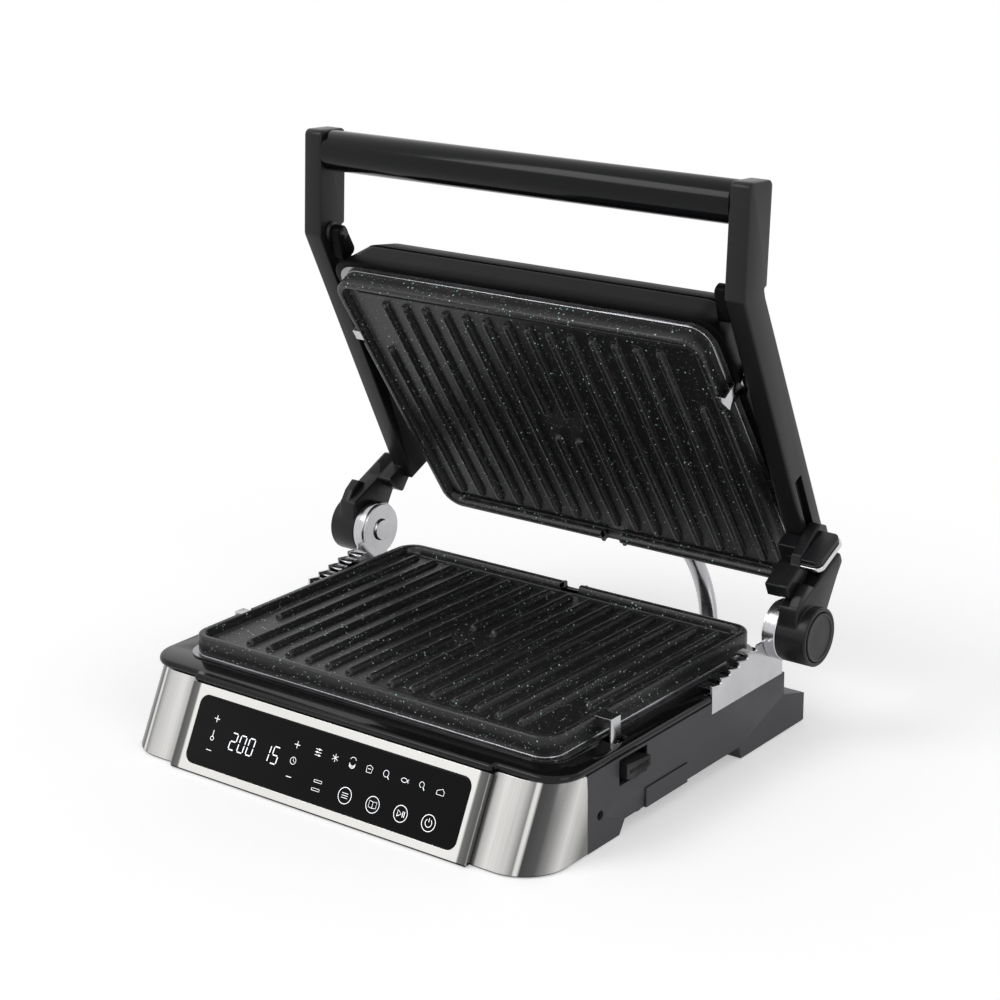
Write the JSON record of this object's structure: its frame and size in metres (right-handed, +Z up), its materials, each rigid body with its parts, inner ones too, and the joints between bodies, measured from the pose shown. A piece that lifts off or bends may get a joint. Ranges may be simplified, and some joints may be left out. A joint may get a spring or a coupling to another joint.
{
  "type": "electric contact grill",
  "caption": "Countertop contact grill: ribbed lower plate in a wedge-fronted base, floating ribbed lid on hinged side arms, glass touch display and a side drip tray.",
  "frame": {"origin": "middle of the base's footprint, on the table the rubber feet stand on", "axes": "+Z up, +X to the right, the display faces -Y"},
  "size_m": [0.3938, 0.3637, 0.372],
  "materials": {
    "grey_plastic": "moulded, fine texture",
    "black_plastic": "moulded, satin",
    "satin_black": "moulded, satin",
    "gloss_black": "polished",
    "brushed_steel": "brushed upwards",
    "pressed_steel": "rolled",
    "bright_steel": "bright rolled",
    "chrome_trim": "polished",
    "conduit_steel": "polished",
    "heater_steel": "oxidised",
    "nonstick": "speckled non-stick coating on die-cast aluminium",
    "display_glass": "polished, printed behind",
    "circuit_board": "laminate",
    "ceramic": "glazed",
    "rubber": "soft"
  },
  "bodies": {
    "base": {"base_tub": "grey_plastic", "bottom_pan": "black_plastic", "rubber_feet": "rubber", "deck_bezel": "gloss_black", "front_frame": "black_plastic", "front_panel": "brushed_steel", "corner_wrap_right": "brushed_steel", "corner_wrap_left": "brushed_steel", "display_glass": "display_glass", "display_board": "circuit_board", "power_board": "circuit_board", "terminal_block": "ceramic", "mains_gland": "black_plastic", "lower_reflector": "pressed_steel", "lower_plate": "nonstick", "lower_heater": "heater_steel", "lower_sensor": "ceramic", "lower_fixed_tab": "bright_steel", "tray_runners": "black_plastic", "grease_chute": "pressed_steel", "hinge_bracket_right": "bright_steel", "hinge_bracket_left": "bright_steel", "hinge_disc_right": "bright_steel", "hinge_disc_left": "bright_steel", "hinge_pin_right": "bright_steel", "hinge_pin_left": "bright_steel", "pin_clips": "bright_steel", "base_screws": "bright_steel", "bracket_screws": "bright_steel", "conduit_gland": "black_plastic", "lower_catch_pin": "bright_steel", "conduit_base": "conduit_steel"},
    "drip_tray": {"drip_tray": "grey_plastic"},
    "lower_catch": {"lower_catch_hook": "bright_steel", "lower_catch_button": "black_plastic"},
    "arms": {"arm_right": "satin_black", "arm_left": "satin_black", "grip_bar": "gloss_black", "grip_rod": "bright_steel", "left_hinge_cap": "satin_black", "button_spring": "bright_steel", "conduit_middle": "conduit_steel"},
    "push_button": {"push_button": "satin_black"},
    "height_slider": {"slider_body": "satin_black", "slider_grip": "satin_black", "slider_trim": "chrome_trim"},
    "leveller": {"float_pins": "bright_steel", "conduit_lid": "conduit_steel"},
    "lid": {"lid_housing": "satin_black", "lid_cover": "brushed_steel", "upper_reflector": "pressed_steel", "upper_plate": "nonstick", "upper_heater": "heater_steel", "upper_sensor": "ceramic", "upper_catch_pin": "bright_steel", "upper_fixed_tab": "bright_steel", "lid_screws": "bright_steel", "lid_gland": "black_plastic"},
    "upper_catch": {"upper_catch_hook": "bright_steel", "upper_catch_button": "black_plastic"}
  },
  "joints": [
    {"name": "lid_hinge", "type": "hinge", "parent": "base", "child": "arms", "pos_m": [0, 0.115, 0.0765], "axis": [1, 0, 0], "range_deg": [-33.6, 71.4], "deforming": ["conduit_base"]},
    {"name": "lid_leveller", "type": "hinge", "parent": "arms", "child": "leveller", "pos_m": [0, 0.06517, 0.30294], "axis": [1, 0, 0], "range_deg": [-14.2, 6.7], "deforming": ["conduit_middle"]},
    {"name": "lid_float", "type": "hinge", "parent": "leveller", "child": "lid", "pos_m": [0, 0.06517, 0.30294], "axis": [1, 0, 0], "range_deg": [0, 8], "deforming": ["conduit_lid"]},
    {"name": "height_slider", "type": "slide", "parent": "arms", "child": "height_slider", "axis": [0, -0.4242, 0.9056], "range_m": [0, 0.042]},
    {"name": "push_button", "type": "slide", "parent": "arms", "child": "push_button", "axis": [-1, 0, 0], "range_m": [0, 0.003], "stiffness_N_per_m": 1200, "springref_m": -0.003, "deforming": ["button_spring"]},
    {"name": "lower_catch", "type": "hinge", "parent": "base", "child": "lower_catch", "pos_m": [0.154, -0.05, 0.0472], "axis": [0, 1, 0], "range_deg": [0, 7.5], "stiffness_Nm_per_rad": 0.4, "springref_deg": -5.73},
    {"name": "upper_catch", "type": "hinge", "parent": "lid", "child": "upper_catch", "pos_m": [0.1492, 0.09164, 0.24209], "axis": [0, -0.5402, 0.8415], "range_deg": [0, 7.5], "stiffness_Nm_per_rad": 0.4, "springref_deg": -5.73},
    {"name": "drip_tray", "type": "slide", "parent": "base", "child": "drip_tray", "axis": [1, 0, 0], "range_m": [0, 0.095]}
  ],
  "couplings": [
    {"joint": "lid_leveller", "follows": "lid_hinge", "ratio": -0.19748}
  ]
}
